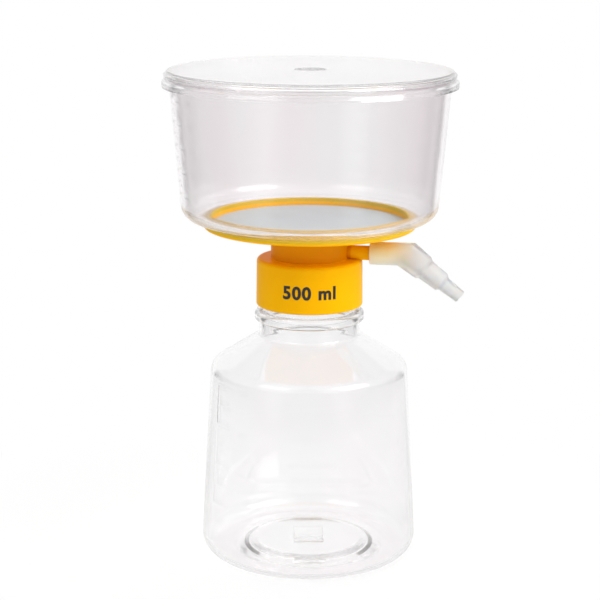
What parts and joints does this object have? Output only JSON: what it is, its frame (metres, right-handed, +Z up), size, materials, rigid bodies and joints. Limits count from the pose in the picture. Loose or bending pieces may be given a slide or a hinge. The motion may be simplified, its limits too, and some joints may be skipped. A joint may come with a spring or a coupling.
{
  "type": "vacuum filtration unit",
  "caption": "Vacuum filtration unit: clear lidded funnel on a yellow membrane holder that screws onto a clear receiver bottle, with a stepped hose adapter on its side port.",
  "frame": {"origin": "centre of the ring that the bottle stands on", "axes": "+Z up along the main axis; the side port leaves 20 degrees clockwise from +X, seen from above, and the bottle's graduated front faces roughly -Y"},
  "size_m": [0.1252, 0.1248, 0.2114],
  "materials": {
    "clear_bottle": "clear, polished",
    "clear_funnel": "clear, polished, faint warm tint",
    "clear_lid": "clear, fine satin top",
    "yellow_base": "semi-gloss moulded, opaque golden yellow",
    "membrane": "matte porous sheet, off-white",
    "gasket": "soft, matte, off-white",
    "plug": "fibrous, white",
    "natural_adapter": "natural translucent, satin"
  },
  "bodies": {
    "bottle": {"receiver_bottle": "clear_bottle"},
    "gasket": {"neck_gasket": "gasket"},
    "head": {"filter_base": "yellow_base", "membrane": "membrane", "funnel_bowl": "clear_funnel", "port_plug": "plug"},
    "adapter": {"hose_adapter": "natural_adapter"},
    "lid": {"lid": "clear_lid"}
  },
  "joints": [
    {"name": "thread_lift", "type": "slide", "parent": "bottle", "child": "gasket", "axis": [0, 0, 1], "range_m": [0, 0.006]},
    {"name": "head_turn", "type": "hinge", "parent": "gasket", "child": "head", "pos_m": [0, 0, 0.12], "axis": [0, 0, 1], "range_deg": [0, 540]},
    {"name": "arm_swivel", "type": "hinge", "parent": "head", "child": "adapter", "pos_m": [0.02819, -0.01026, 0.1337], "axis": [0.9397, -0.342, 0], "range_deg": [-90, 90]},
    {"name": "lid_lift", "type": "slide", "parent": "head", "child": "lid", "axis": [0, 0, 1], "range_m": [0, 0.03]}
  ],
  "couplings": [
    {"joint": "thread_lift", "follows": "head_turn", "m_per_rad": 0.0006366}
  ]
}
